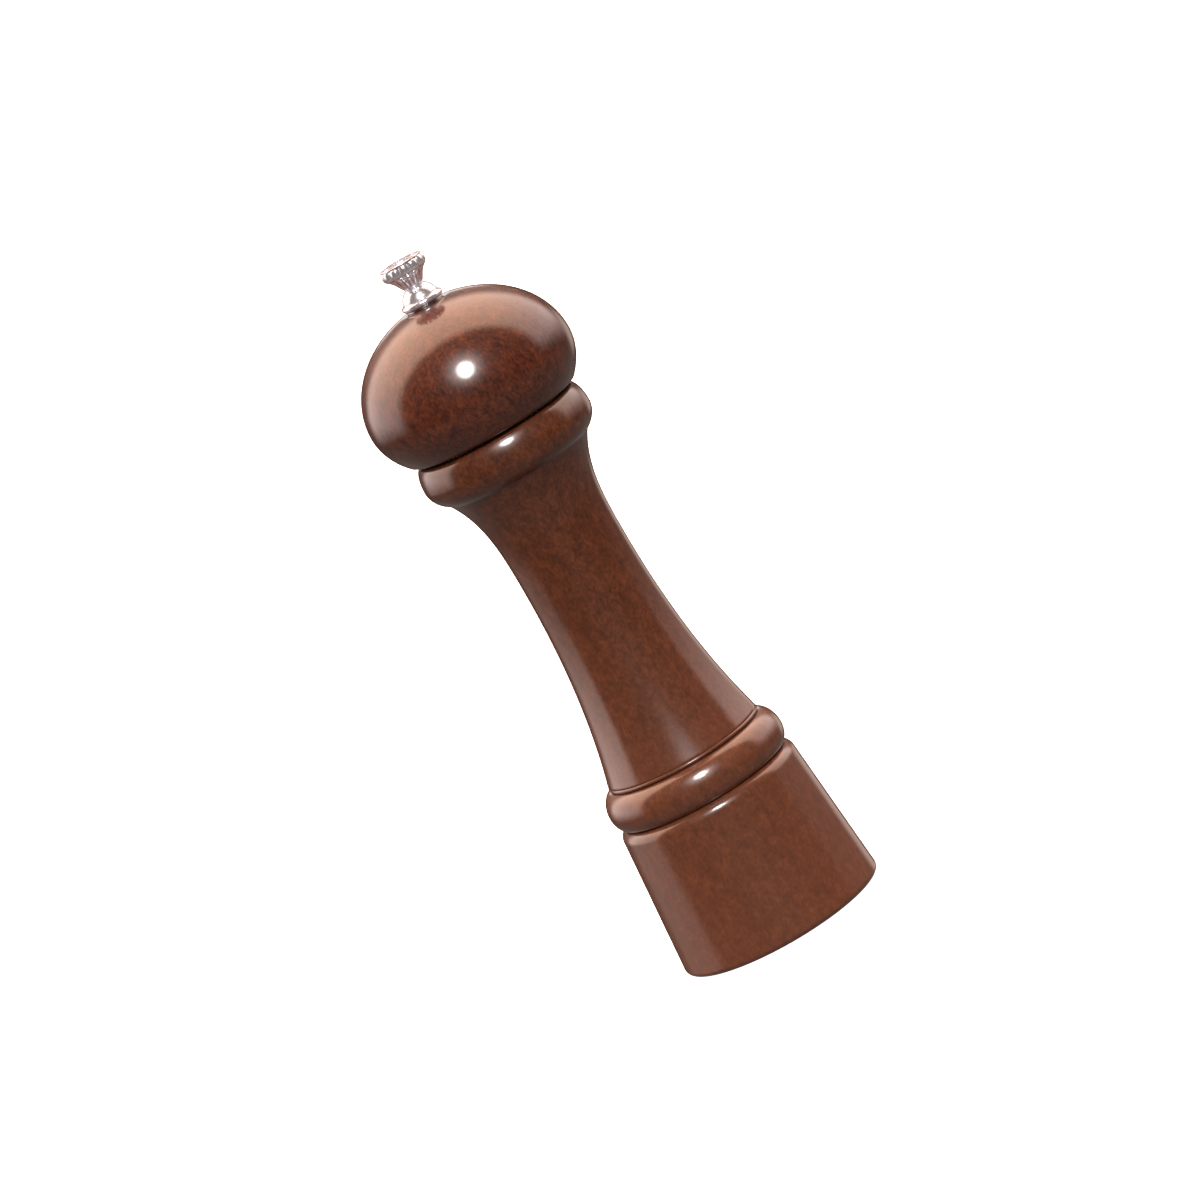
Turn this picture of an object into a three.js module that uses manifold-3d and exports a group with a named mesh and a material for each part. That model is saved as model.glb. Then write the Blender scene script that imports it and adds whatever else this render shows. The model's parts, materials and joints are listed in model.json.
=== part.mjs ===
// A pepper mill: a turned hardwood barrel and ball head, a plated knob, and the steel grinding
// mechanism inside. Millimetres, +Z up along the spindle, origin at the centre of the flat base.
//
// Turning the head turns the square shaft, which drives the fluted rotor inside the fluted stator.
// Turning the knob draws the shaft up or lets it down, which sets how fine the mill grinds.

import * as THREE from 'three';
import { mergeVertices } from 'three/addons/utils/BufferGeometryUtils.js';
import Module from 'manifold-3d';

const wasm = await Module();
wasm.setup();

// ---- Driving dimensions -------------------------------------------------------------------------

const OVERALL_HEIGHT = 203;
const RUNNING_GAP = 0.05; // between faces that slide or rest on each other

// Outside of the barrel, from the foot up.
const BASE = { radius: 29.1, corner: 1.6, shoulderRadius: 26, shoulderZ: 39.3 };
const GROOVE = { radius: 23.2, z: 42.3 };
const LOWER_BEAD = { radius: 26.1, z: 47, topZ: 53.2 };
const WAIST = { footRadius: 21.6, radius: 15.45, z: 112 };
const WAIST_PULL = { footOut: 2.5, footUp: 4.9, below: 46, above: 10.3, underCollar: 8.5 }; // of its curves
const UPPER_BEAD = { radius: 24.85, z: 147, coreRadius: 14.6, height: 7.8, undercut: 52 };
const BARREL_TOP = { radius: 22.4, z: 153.4 };

// Inside of the barrel, from the foot up.
const RECESS = { radius: 20.5, depth: 8 };
const STATOR_BORE = { radius: 14.3, top: 29.5 };
const HOPPER_RADIUS = 11;
const SOCKET = { radius: 12.3, floor: 141 };

// The ball head: two half ellipses that meet at the widest place, cut flat at the top.
const HEAD_GAP = 0.8;
const HEAD = { radius: 29.75, z: 166.3, crown: 24.25, underside: 20.85, topZ: 189.9 };
const TENON = { radius: 12, bottom: 143.2 };
const SHAFT_HOLE_RADIUS = 4;
const GLIDE_WASHER = { inner: 12.6, outer: 17.5 };

// Spindle: a 3/16 inch square bar with a round thread on each end.
const SHAFT = { side: 4.76, bottom: 12, top: 187.2 };
const THREAD = { radius: 2.05, bottom: 3.4, top: 198.6 };

// Grinding parts. The rotor's band runs parallel to the stator's, one gap inside it.
const STATOR = { radius: 14, bottom: 8.05, top: 27 };
const BAND = { mouth: 10.6, throat: 8.35, throatZ: 17.5, funnel: 10.2 };
const GRIND_GAP = 0.45;
const ROTOR = { bottom: 8.6, top: 26.5, tip: 5.4, bore: 5 };
const ROTOR_WASHER = { inner: 2.3, outer: 5.2, thickness: 1 };
const ROTOR_NUT = { cornerRadius: 4.62, bore: 2.2, height: 3.2 };
const FLUTE = { depth: 0.6, twist: 0.09, onRotor: 12, onStator: 16 };

const BRIDGE = { width: 6, thickness: 1, eye: 5.8, legX: 10.4, footX: 13.7, top: 44, rivetX: 12.2 };
const BUSH = { radius: 3.9, bore: 3.5, flange: 5.2, flangeHeight: 0.8, above: 0.4, fit: 0.1 };
const SPRING = { coilRadius: 4.4, wireRadius: 0.5, turns: 6.5, endPitch: 0.5 };
const THRUST_WASHER = { inner: 3.6, outer: 5.8, thickness: 0.8 };
const RETAINER = { inner: 11.4, outer: 20.1, thickness: 1.2, screwCircle: 17.2, screws: 3 };
const DRIVE_PLATE = { radius: 11.4, thickness: 1.2, hole: 5.1, screwY: 8.3 };

// Fasteners: the pilot is the hole in the wood, and the clearance is the hole in the metal.
const RETAINER_SCREW = { head: 2.5, headHeight: 1.4, shank: 1.3, length: 8.8, pilot: 1.5, clearance: 1.6 };
const DRIVE_SCREW = { head: 2, headHeight: 1, shank: 1, length: 7.5, pilot: 1.2, clearance: 1.3 };
const RIVET = { head: 1.6, headHeight: 0.8, shank: 0.9, length: 4, clearance: 1 };
const PILOT_ROOM = 0.4; // past the tip of the screw
const CUT_PAST = 1; // how far a cutting tool runs past the face that it cuts

// Knob: outline heights are above its own foot.
const KNOB = { foot: 5.95, bead: 0.9, groove: 4.9, neck: 2.75, disc: 6.4, chamfer: 0.4 };
const KNOB_BORE = { gap: 0.15, aboveThread: 2 };
const KNOB_HEIGHTS = { groove: 2, bell: 2.3, neckBottom: 5.2, neckTop: 5.4, coneTop: 9.5, discBottom: 9.6 };
const KNOB_NOTCH = { count: 12, radius: 0.6, proud: 0.1 };
const KNOB_WASHER = { inner: 2.6, outer: 5.2, thickness: 0.4 };

// Facets round a turned piece, by its size.
const WOOD_FACETS = 32;
const RING_FACETS = 24;
const SCREW_FACETS = 12;

// ---- Materials ----------------------------------------------------------------------------------

const FINISH = {
  wood: { color: 0x5c3021, roughness: 0.3, metalness: 0 },
  chrome: { color: 0xd4d2ce, roughness: 0.08, metalness: 1 },
  steel: { color: 0x9c9da0, roughness: 0.35, metalness: 1 },
  zincPlate: { color: 0xb4b2a8, roughness: 0.4, metalness: 1 },
  brass: { color: 0xb08d4a, roughness: 0.35, metalness: 1 },
  nylon: { color: 0xe6e0d2, roughness: 0.5, metalness: 0 },
};

// ---- Outline and solid helpers ------------------------------------------------------------------

const point = (r, z) => new THREE.Vector2(r, z);
const degrees = THREE.MathUtils.degToRad;

// Points along an arc of an ellipse centred at (r, z), angles in degrees from +R towards +Z.
function arc(r, z, radiusR, radiusZ, from, to, steps) {
  const curve = new THREE.EllipseCurve(r, z, radiusR, radiusZ, degrees(from), degrees(to), from > to);
  return curve.getPoints(steps);
}

function bezier(from, leave, arrive, to, steps) {
  return new THREE.CubicBezierCurve(from, leave, arrive, to).getPoints(steps);
}

// Outline with each point that repeats the one before it left out.
function joined(...stretches) {
  const points = stretches.flat();
  return points.filter((p, i) => i === 0 || p.distanceTo(points[i - 1]) > 1e-4);
}

// Turned solid about Z. Outside goes up and inside comes down; a ring's outline is closed here.
function turned(outline, facets) {
  const [first, last] = [outline[0], outline.at(-1)];
  const onAxis = first.x === 0 && last.x === 0;
  const closed = onAxis ? outline : [...outline, first.clone()];
  return new THREE.LatheGeometry(closed, facets).rotateX(Math.PI / 2);
}

function ring(inner, outer, bottom, thickness, facets = RING_FACETS) {
  const top = bottom + thickness;
  return turned([point(inner, bottom), point(outer, bottom), point(outer, top), point(inner, top)], facets);
}

function cylinder(radius, bottom, top, facets, x = 0, y = 0) {
  return new THREE.CylinderGeometry(radius, radius, top - bottom, facets)
    .rotateX(Math.PI / 2)
    .translate(x, y, (bottom + top) / 2);
}

function squareBar(side, bottom, top) {
  return new THREE.BoxGeometry(side, side, top - bottom).translate(0, 0, (bottom + top) / 2);
}

// Closed geometry as a manifold-3d solid: only positions are kept, and shared corners are merged.
function solid(geometry) {
  const bare = geometry.index ? geometry.toNonIndexed() : geometry.clone();
  bare.deleteAttribute('normal');
  bare.deleteAttribute('uv');
  const merged = mergeVertices(bare, 1e-4);
  return new wasm.Manifold(new wasm.Mesh({
    numProp: 3,
    vertProperties: merged.attributes.position.array,
    triVerts: new Uint32Array(merged.index.array),
  }));
}

function geometryOf(manifold) {
  const mesh = manifold.getMesh();
  const geometry = new THREE.BufferGeometry();
  geometry.setAttribute('position', new THREE.BufferAttribute(mesh.vertProperties, 3));
  geometry.setIndex(new THREE.BufferAttribute(mesh.triVerts, 1));
  geometry.computeVertexNormals();
  return geometry;
}

function cut(body, ...tools) {
  return geometryOf(tools.map(solid).reduce((left, tool) => left.subtract(tool), solid(body)));
}

function join(...pieces) {
  return geometryOf(pieces.map(solid).reduce((sum, piece) => sum.add(piece)));
}

const group = new THREE.Group();

function add(name, geometry, finish) {
  const mesh = new THREE.Mesh(geometry, new THREE.MeshStandardMaterial(FINISH[finish]));
  mesh.name = name;
  group.add(mesh);
}

// Places evenly spaced on a circle, the first on +X.
function onCircle(count, radius) {
  return Array.from({ length: count }, (_, i) => {
    const angle = (2 * Math.PI * i) / count;
    return { x: radius * Math.cos(angle), y: radius * Math.sin(angle) };
  });
}

const SIDES = [-1, 1];
const retainerScrewPlaces = onCircle(RETAINER.screws, RETAINER.screwCircle);
const driveScrewPlaces = SIDES.map((side) => ({ x: 0, y: side * DRIVE_PLATE.screwY }));

// ---- Wooden parts -------------------------------------------------------------------------------

function barrelOutside() {
  const { radius, corner, shoulderRadius, shoulderZ } = BASE;
  const foot = point(WAIST.footRadius, LOWER_BEAD.topZ);
  const flare = point(foot.x + WAIST_PULL.footOut, foot.y + WAIST_PULL.footUp);
  const narrowest = point(WAIST.radius, WAIST.z);
  const collar = arc(
    UPPER_BEAD.coreRadius, UPPER_BEAD.z, UPPER_BEAD.radius - UPPER_BEAD.coreRadius, UPPER_BEAD.height,
    -UPPER_BEAD.undercut, 0, 4,
  );
  const straightUp = (z) => point(narrowest.x, z);
  return joined(
    arc(radius - corner, corner, corner, corner, -90, 0, 3),
    arc(GROOVE.radius, shoulderZ, shoulderRadius - GROOVE.radius, GROOVE.z - shoulderZ, 0, 90, 4),
    arc(GROOVE.radius, LOWER_BEAD.z, LOWER_BEAD.radius - GROOVE.radius, LOWER_BEAD.z - GROOVE.z, -90, 0, 4),
    arc(foot.x, LOWER_BEAD.z, LOWER_BEAD.radius - foot.x, LOWER_BEAD.topZ - LOWER_BEAD.z, 0, 90, 5),
    bezier(foot, flare, straightUp(WAIST.z - WAIST_PULL.below), narrowest, 12),
    bezier(
      narrowest, straightUp(WAIST.z + WAIST_PULL.above), straightUp(collar[0].y - WAIST_PULL.underCollar),
      collar[0], 7,
    ),
    collar,
    arc(
      BARREL_TOP.radius, UPPER_BEAD.z, UPPER_BEAD.radius - BARREL_TOP.radius, BARREL_TOP.z - UPPER_BEAD.z,
      0, 90, 4,
    ),
  );
}

function barrel() {
  const inside = [
    point(SOCKET.radius, BARREL_TOP.z),
    point(SOCKET.radius, SOCKET.floor),
    point(HOPPER_RADIUS, SOCKET.floor),
    point(HOPPER_RADIUS, STATOR_BORE.top),
    point(STATOR_BORE.radius, STATOR_BORE.top),
    point(STATOR_BORE.radius, RECESS.depth),
    point(RECESS.radius, RECESS.depth),
    point(RECESS.radius, 0),
  ];
  const holeTop = RECESS.depth - RETAINER.thickness + RETAINER_SCREW.length + PILOT_ROOM;
  const pilotHoles = retainerScrewPlaces.map(({ x, y }) =>
    cylinder(RETAINER_SCREW.pilot, RECESS.depth - CUT_PAST, holeTop, SCREW_FACETS, x, y));
  return cut(turned([...barrelOutside(), ...inside], WOOD_FACETS), ...pilotHoles);
}

function head() {
  const bottom = BARREL_TOP.z + HEAD_GAP;
  const lowest = -THREE.MathUtils.radToDeg(Math.asin((HEAD.z - bottom) / HEAD.underside));
  const highest = THREE.MathUtils.radToDeg(Math.asin((HEAD.topZ - HEAD.z) / HEAD.crown));
  const outline = joined(
    [point(TENON.radius, TENON.bottom), point(TENON.radius, bottom)],
    arc(0, HEAD.z, HEAD.radius, HEAD.underside, lowest, 0, 6),
    arc(0, HEAD.z, HEAD.radius, HEAD.crown, 0, highest, 11),
    [point(SHAFT_HOLE_RADIUS, HEAD.topZ), point(SHAFT_HOLE_RADIUS, TENON.bottom)],
  );
  const holeTop = TENON.bottom - DRIVE_PLATE.thickness + DRIVE_SCREW.length + PILOT_ROOM;
  const pilotHoles = driveScrewPlaces.map(({ x, y }) =>
    cylinder(DRIVE_SCREW.pilot, TENON.bottom - CUT_PAST, holeTop, SCREW_FACETS, x, y));
  return cut(turned(outline, WOOD_FACETS), ...pilotHoles);
}

add('barrel', barrel(), 'wood');
add('head', head(), 'wood');

// ---- Knob, its washer and the ring that the head turns on ---------------------------------------

const knobWasherBottom = HEAD.topZ + RUNNING_GAP;
const knobBottom = knobWasherBottom + KNOB_WASHER.thickness + RUNNING_GAP;

function knob() {
  const { groove, bell, neckBottom, neckTop, coneTop, discBottom } = KNOB_HEIGHTS;
  const at = (r, height) => point(r, knobBottom + height);
  const discTop = OVERALL_HEIGHT - knobBottom;
  const boreRadius = THREAD.radius + KNOB_BORE.gap;
  const boreTop = THREAD.top + KNOB_BORE.aboveThread - knobBottom;
  const bellRadius = KNOB.groove + 0.15;
  const neckFoot = at(KNOB.neck, neckBottom);
  const neckHead = at(KNOB.neck, neckTop);
  const outline = joined(
    [at(0, boreTop), at(boreRadius, boreTop), at(boreRadius, 0)],
    arc(KNOB.foot - KNOB.bead, knobBottom + KNOB.bead, KNOB.bead, KNOB.bead, -90, 60, 4),
    [at(KNOB.groove, groove)],
    bezier(at(bellRadius, bell), at(4.6, bell + 1.1), at(3.9, neckBottom - 0.6), neckFoot, 5),
    bezier(neckHead, at(3.6, neckTop + 0.8), at(3.9, coneTop - 1.3), at(KNOB.disc - 0.3, coneTop), 6),
    [at(KNOB.disc, discBottom), at(KNOB.disc, discTop - KNOB.chamfer)],
    [at(KNOB.disc - KNOB.chamfer, discTop), at(0, discTop)],
  );
  const notchBottom = knobBottom + discBottom - CUT_PAST / 2;
  const halfNotch = degrees(180 / KNOB_NOTCH.count);
  const notches = onCircle(KNOB_NOTCH.count, KNOB.disc + KNOB_NOTCH.proud).map(({ x, y }) =>
    cylinder(KNOB_NOTCH.radius, notchBottom, OVERALL_HEIGHT + CUT_PAST, 6, x, y).rotateZ(halfNotch));
  return cut(turned(outline, RING_FACETS), ...notches);
}

add('knob', knob(), 'chrome');
add(
  'knob_washer',
  ring(KNOB_WASHER.inner, KNOB_WASHER.outer, knobWasherBottom, KNOB_WASHER.thickness),
  'steel',
);
add(
  'glide_washer',
  ring(GLIDE_WASHER.inner, GLIDE_WASHER.outer, BARREL_TOP.z + RUNNING_GAP, HEAD_GAP - 2 * RUNNING_GAP),
  'nylon',
);

// ---- Screws, rivets and the drive plate ---------------------------------------------------------

// Pan-head screw standing on its head: the head's flat underside is at seatZ and the shank goes up.
function screw({ x, y }, seatZ, { head: headRadius, headHeight, shank, length }) {
  const outline = [
    point(0, seatZ - headHeight),
    point(headRadius * 0.75, seatZ - headHeight),
    point(headRadius, seatZ - headHeight * 0.5),
    point(headRadius, seatZ),
    point(shank, seatZ),
    point(shank, seatZ + length),
    point(0, seatZ + length),
  ];
  return turned(outline, SCREW_FACETS).translate(x, y, 0);
}

const drivePlateBottom = TENON.bottom - RUNNING_GAP - DRIVE_PLATE.thickness;

function drivePlate() {
  const top = drivePlateBottom + DRIVE_PLATE.thickness;
  const plate = cylinder(DRIVE_PLATE.radius, drivePlateBottom, top, RING_FACETS);
  const [from, to] = [drivePlateBottom - CUT_PAST, top + CUT_PAST];
  const screwHoles = driveScrewPlaces.map(({ x, y }) =>
    cylinder(DRIVE_SCREW.clearance, from, to, SCREW_FACETS, x, y));
  return cut(plate, squareBar(DRIVE_PLATE.hole, from, to), ...screwHoles);
}

add('drive_plate', drivePlate(), 'zincPlate');
driveScrewPlaces.forEach((place, i) => {
  add(`drive_plate_screw_${i + 1}`, screw(place, drivePlateBottom - RUNNING_GAP, DRIVE_SCREW), 'steel');
});

// ---- Shaft, rotor and what holds the rotor on ---------------------------------------------------

add(
  'shaft',
  join(
    cylinder(THREAD.radius, THREAD.bottom, SHAFT.bottom + 1, RING_FACETS),
    squareBar(SHAFT.side, SHAFT.bottom, SHAFT.top),
    cylinder(THREAD.radius, SHAFT.top - 1, THREAD.top, RING_FACETS),
  ),
  'zincPlate',
);

// Turned solid whose points marked as fluted are pushed in or out by a helical triangle wave.
// Four facets make one flute, and the twist is in flutes for each millimetre of height.
function fluted(outline, isFluted, count, depth) {
  const facets = 4 * count;
  const geometry = turned(outline, facets);
  const position = geometry.attributes.position;
  const rows = position.count / (facets + 1);
  for (let i = 0; i < position.count; i += 1) {
    const [x, y, z] = [position.getX(i), position.getY(i), position.getZ(i)];
    const radius = Math.hypot(x, y);
    if (!isFluted(radius, z)) continue;
    const facet = Math.floor(i / rows) % facets;
    const phase = (facet / 4 + FLUTE.twist * z) % 1;
    const scale = 1 + (depth * (1 - Math.abs(2 * phase - 1))) / radius;
    position.setXY(i, x * scale, y * scale);
  }
  return geometry;
}

// Straight stretch of outline between two points, divided so that flutes can twist along it.
function divided(from, to, steps) {
  return Array.from({ length: steps + 1 }, (_, i) => from.clone().lerp(to, i / steps));
}

// Inner radius of the stator's grinding band, which narrows from its mouth up to its throat.
function bandRadius(z) {
  return THREE.MathUtils.mapLinear(z, STATOR.bottom, BAND.throatZ, BAND.mouth, BAND.throat);
}

function rotor() {
  const throat = point(BAND.throat - GRIND_GAP, BAND.throatZ);
  const outline = joined(
    [point(0, ROTOR.bottom)],
    divided(point(bandRadius(ROTOR.bottom) - GRIND_GAP, ROTOR.bottom), throat, 3),
    divided(throat, point(ROTOR.tip, ROTOR.top), 4),
    [point(0, ROTOR.top)],
  );
  const body = fluted(outline, (radius) => radius > 1, FLUTE.onRotor, -FLUTE.depth);
  return cut(body, squareBar(ROTOR.bore, ROTOR.bottom - CUT_PAST, ROTOR.top + CUT_PAST));
}

function rivetHoles(bottom, top) {
  return SIDES.map((side) => cylinder(RIVET.clearance, bottom, top, SCREW_FACETS, side * BRIDGE.rivetX, 0));
}

function stator() {
  const outline = joined(
    [point(STATOR.radius, STATOR.bottom), point(STATOR.radius, STATOR.top)],
    divided(point(BAND.funnel, STATOR.top), point(BAND.throat, BAND.throatZ), 4),
    divided(point(BAND.throat, BAND.throatZ), point(BAND.mouth, STATOR.bottom), 3),
  );
  const body = fluted(outline, (radius) => radius < STATOR.radius - 1, FLUTE.onStator, FLUTE.depth);
  const holeBottom = STATOR.top - RIVET.length + BRIDGE.thickness / 2;
  return cut(body, ...rivetHoles(holeBottom, STATOR.top + CUT_PAST));
}

const rotorWasherBottom = ROTOR.bottom - RUNNING_GAP - ROTOR_WASHER.thickness;
const nutBottom = rotorWasherBottom - RUNNING_GAP - ROTOR_NUT.height;

function rotorNut() {
  const top = nutBottom + ROTOR_NUT.height;
  const bore = cylinder(ROTOR_NUT.bore, nutBottom - CUT_PAST, top + CUT_PAST, SCREW_FACETS);
  return cut(cylinder(ROTOR_NUT.cornerRadius, nutBottom, top, 6), bore);
}

add('rotor', rotor(), 'steel');
add(
  'rotor_washer',
  ring(ROTOR_WASHER.inner, ROTOR_WASHER.outer, rotorWasherBottom, ROTOR_WASHER.thickness),
  'zincPlate',
);
add('rotor_nut', rotorNut(), 'zincPlate');
add('stator', stator(), 'steel');

// ---- Retainer plate under the stator ------------------------------------------------------------

const retainerBottom = RECESS.depth - RUNNING_GAP - RETAINER.thickness;

function retainerPlate() {
  const [from, to] = [retainerBottom - CUT_PAST, retainerBottom + RETAINER.thickness + CUT_PAST];
  const holes = retainerScrewPlaces.map(({ x, y }) =>
    cylinder(RETAINER_SCREW.clearance, from, to, SCREW_FACETS, x, y));
  return cut(ring(RETAINER.inner, RETAINER.outer, retainerBottom, RETAINER.thickness), ...holes);
}

add('retainer_plate', retainerPlate(), 'zincPlate');
retainerScrewPlaces.forEach((place, i) => {
  add(`retainer_screw_${i + 1}`, screw(place, retainerBottom - RUNNING_GAP, RETAINER_SCREW), 'steel');
});

// ---- Bridge over the stator, its bush and rivets ------------------------------------------------

const bridgeBottom = STATOR.top + RUNNING_GAP;
const bridgeUnderside = BRIDGE.top - BRIDGE.thickness;

// Strap bent into a hat: two feet on the stator, two legs, and a bar that widens into a round eye.
function bridge() {
  const { thickness, legX, footX, top } = BRIDGE;
  const right = [
    [footX, bridgeBottom], [footX, bridgeBottom + thickness], [legX, bridgeBottom + thickness], [legX, top],
  ];
  const left = right.map(([x, z]) => [-x, z]).reverse();
  const inside = [
    [-legX + thickness, bridgeBottom], [-legX + thickness, bridgeUnderside],
    [legX - thickness, bridgeUnderside], [legX - thickness, bridgeBottom],
  ];
  const shape = new THREE.Shape([...right, ...left, ...inside].map(([x, z]) => point(x, z)));
  const strap = new THREE.ExtrudeGeometry(shape, { depth: BRIDGE.width, bevelEnabled: false })
    .rotateX(Math.PI / 2)
    .translate(0, BRIDGE.width / 2, 0);
  const footHoles = rivetHoles(bridgeBottom - CUT_PAST, bridgeBottom + thickness + CUT_PAST);
  const eye = cylinder(BRIDGE.eye, bridgeUnderside, top, RING_FACETS);
  const [from, to] = [bridgeUnderside - CUT_PAST, top + CUT_PAST];
  const bushHole = cylinder(BUSH.radius + BUSH.fit, from, to, RING_FACETS);
  return cut(join(strap, eye), bushHole, ...footHoles);
}

function bridgeRivet(x) {
  const seat = bridgeBottom + BRIDGE.thickness + RUNNING_GAP;
  const outline = [
    point(0, seat - RIVET.length), point(RIVET.shank, seat - RIVET.length), point(RIVET.shank, seat),
    ...arc(0, seat, RIVET.head, RIVET.headHeight, 0, 90, 3),
  ];
  outline.at(-1).x = 0;
  return turned(outline, SCREW_FACETS).translate(x, 0, 0);
}

const bushFlangeTop = bridgeUnderside - RUNNING_GAP;
const bushFlangeBottom = bushFlangeTop - BUSH.flangeHeight;

function bridgeBush() {
  const top = BRIDGE.top + BUSH.above;
  return turned([
    point(BUSH.bore, bushFlangeBottom), point(BUSH.flange, bushFlangeBottom),
    point(BUSH.flange, bushFlangeTop), point(BUSH.radius, bushFlangeTop),
    point(BUSH.radius, top), point(BUSH.bore, top),
  ], RING_FACETS);
}

add('bridge', bridge(), 'zincPlate');
add('bridge_bush', bridgeBush(), 'brass');
SIDES.forEach((side, i) => add(`bridge_rivet_${i + 1}`, bridgeRivet(side * BRIDGE.rivetX), 'steel'));

// ---- Spring and its thrust washer ---------------------------------------------------------------

const thrustWasherBottom = ROTOR.top + RUNNING_GAP;
const springBottom = thrustWasherBottom + THRUST_WASHER.thickness + RUNNING_GAP;
const springTop = bushFlangeBottom - RUNNING_GAP;

// Helix whose coils close up at both ends, where its pitch falls to a share of the mean pitch.
class SpringHelix extends THREE.Curve {
  getPoint(t, target = new THREE.Vector3()) {
    const { coilRadius, wireRadius, turns, endPitch } = SPRING;
    const angle = 2 * Math.PI * turns * t;
    const rise = t - ((1 - endPitch) * Math.sin(2 * Math.PI * t)) / (2 * Math.PI);
    const z = THREE.MathUtils.lerp(springBottom + wireRadius, springTop - wireRadius, rise);
    return target.set(coilRadius * Math.cos(angle), coilRadius * Math.sin(angle), z);
  }
}

function spring() {
  const wire = new THREE.Shape(onCircle(6, SPRING.wireRadius).map(({ x, y }) => point(x, y)));
  const steps = 12 * SPRING.turns;
  return new THREE.ExtrudeGeometry(wire, { steps, extrudePath: new SpringHelix(), bevelEnabled: false });
}

add('spring', spring(), 'steel');
add(
  'thrust_washer',
  ring(THRUST_WASHER.inner, THRUST_WASHER.outer, thrustWasherBottom, THRUST_WASHER.thickness),
  'brass',
);

export default group;
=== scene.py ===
# A pepper mill of stained and lacquered wood with a chromed knob, and the grinding parts inside it.
# Each piece is a finely shaped version of one CAD node, in the same place and on the same body.
# Lengths are millimetres and heights are above the table, until a mesh is made in metres.

import json
import math

import bpy
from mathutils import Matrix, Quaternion, Vector


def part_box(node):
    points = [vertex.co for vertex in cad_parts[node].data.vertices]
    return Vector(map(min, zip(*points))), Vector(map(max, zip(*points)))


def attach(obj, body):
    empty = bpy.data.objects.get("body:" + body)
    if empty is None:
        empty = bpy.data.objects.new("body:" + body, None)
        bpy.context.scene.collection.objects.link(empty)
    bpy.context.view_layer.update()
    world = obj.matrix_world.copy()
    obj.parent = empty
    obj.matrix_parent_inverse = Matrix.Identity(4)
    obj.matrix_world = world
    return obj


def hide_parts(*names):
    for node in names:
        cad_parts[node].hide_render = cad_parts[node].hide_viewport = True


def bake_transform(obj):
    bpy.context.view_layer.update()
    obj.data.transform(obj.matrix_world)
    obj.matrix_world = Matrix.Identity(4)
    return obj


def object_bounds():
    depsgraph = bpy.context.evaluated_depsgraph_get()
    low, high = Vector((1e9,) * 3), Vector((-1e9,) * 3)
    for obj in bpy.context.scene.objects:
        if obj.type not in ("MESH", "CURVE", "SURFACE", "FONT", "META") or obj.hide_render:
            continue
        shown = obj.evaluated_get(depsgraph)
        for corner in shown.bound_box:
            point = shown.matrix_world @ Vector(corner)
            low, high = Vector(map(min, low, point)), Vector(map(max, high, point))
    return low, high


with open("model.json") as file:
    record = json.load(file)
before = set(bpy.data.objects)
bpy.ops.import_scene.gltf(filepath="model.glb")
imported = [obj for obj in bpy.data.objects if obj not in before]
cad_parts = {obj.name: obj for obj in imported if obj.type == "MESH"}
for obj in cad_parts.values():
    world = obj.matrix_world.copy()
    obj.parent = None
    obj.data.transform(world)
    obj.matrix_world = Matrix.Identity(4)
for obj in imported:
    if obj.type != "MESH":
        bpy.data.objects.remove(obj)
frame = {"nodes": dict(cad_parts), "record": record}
cad_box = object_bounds()

MM = 0.001
RUNNING_GAP = 0.05  # between faces that slide or rest on each other


# ---- The frame in millimetres -------------------------------------------------------------------

class Extent:
    """Where a CAD node is: its middle, lowest and highest place, and least and greatest radius."""

    def __init__(self, node):
        low, high = (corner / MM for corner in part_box(node))
        middle = (low + high) / 2
        self.x = middle.x
        self.y = middle.y
        self.bottom = low.z
        self.top = high.z
        self.height = high.z - low.z
        mesh = frame["nodes"][node].data
        reach = [math.hypot(v.co.x / MM - middle.x, v.co.y / MM - middle.y) for v in mesh.vertices]
        self.inner = min(reach)
        self.outer = max(reach)


body_of_node = {
    node: body
    for body, nodes in frame["record"]["behaviour"]["bodies"].items()
    for node in nodes
}


# ---- Outlines -----------------------------------------------------------------------------------
# An outline runs round a turned piece's section, outside going up and inside coming down. Its
# corners are (radius, height) or (radius, height, fillet).

def arc(r, z, radius_r, radius_z, start, end, steps):
    """Points along an ellipse's arc about (r, z), with angles in degrees from outwards to upwards."""
    angles = [math.radians(start + (end - start) * i / steps) for i in range(steps + 1)]
    return [(r + radius_r * math.cos(a), z + radius_z * math.sin(a)) for a in angles]


def bezier(first, leave, arrive, last, steps):
    """Points along a cubic curve."""
    points = []
    for i in range(steps + 1):
        t = i / steps
        weights = ((1 - t) ** 3, 3 * t * (1 - t) ** 2, 3 * t * t * (1 - t), t ** 3)
        sums = zip(first, leave, arrive, last)
        points.append(tuple(sum(w * c for w, c in zip(weights, cs)) for cs in sums))
    return points


def rows(first, last, steps):
    """Points along a straight line, close enough together for teeth or threads to be cut in it."""
    return [tuple(a + (b - a) * i / steps for a, b in zip(first, last)) for i in range(steps + 1)]


def fillet_arc(before, corner, after, radius, steps=5):
    """Points along the arc that rounds a corner between its two neighbours."""
    back = (before - corner).normalized()
    ahead = (after - corner).normalized()
    half = math.acos(max(-1.0, min(1.0, back.dot(ahead)))) / 2
    centre = corner + (back + ahead).normalized() * radius / math.sin(half)
    first = corner + back * radius / math.tan(half) - centre
    last = corner + ahead * radius / math.tan(half) - centre
    turn = math.pi - 2 * half
    shares = [i / steps for i in range(steps + 1)]
    return [
        centre + (first * math.sin((1 - t) * turn) + last * math.sin(t * turn)) / math.sin(turn)
        for t in shares
    ]


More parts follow.
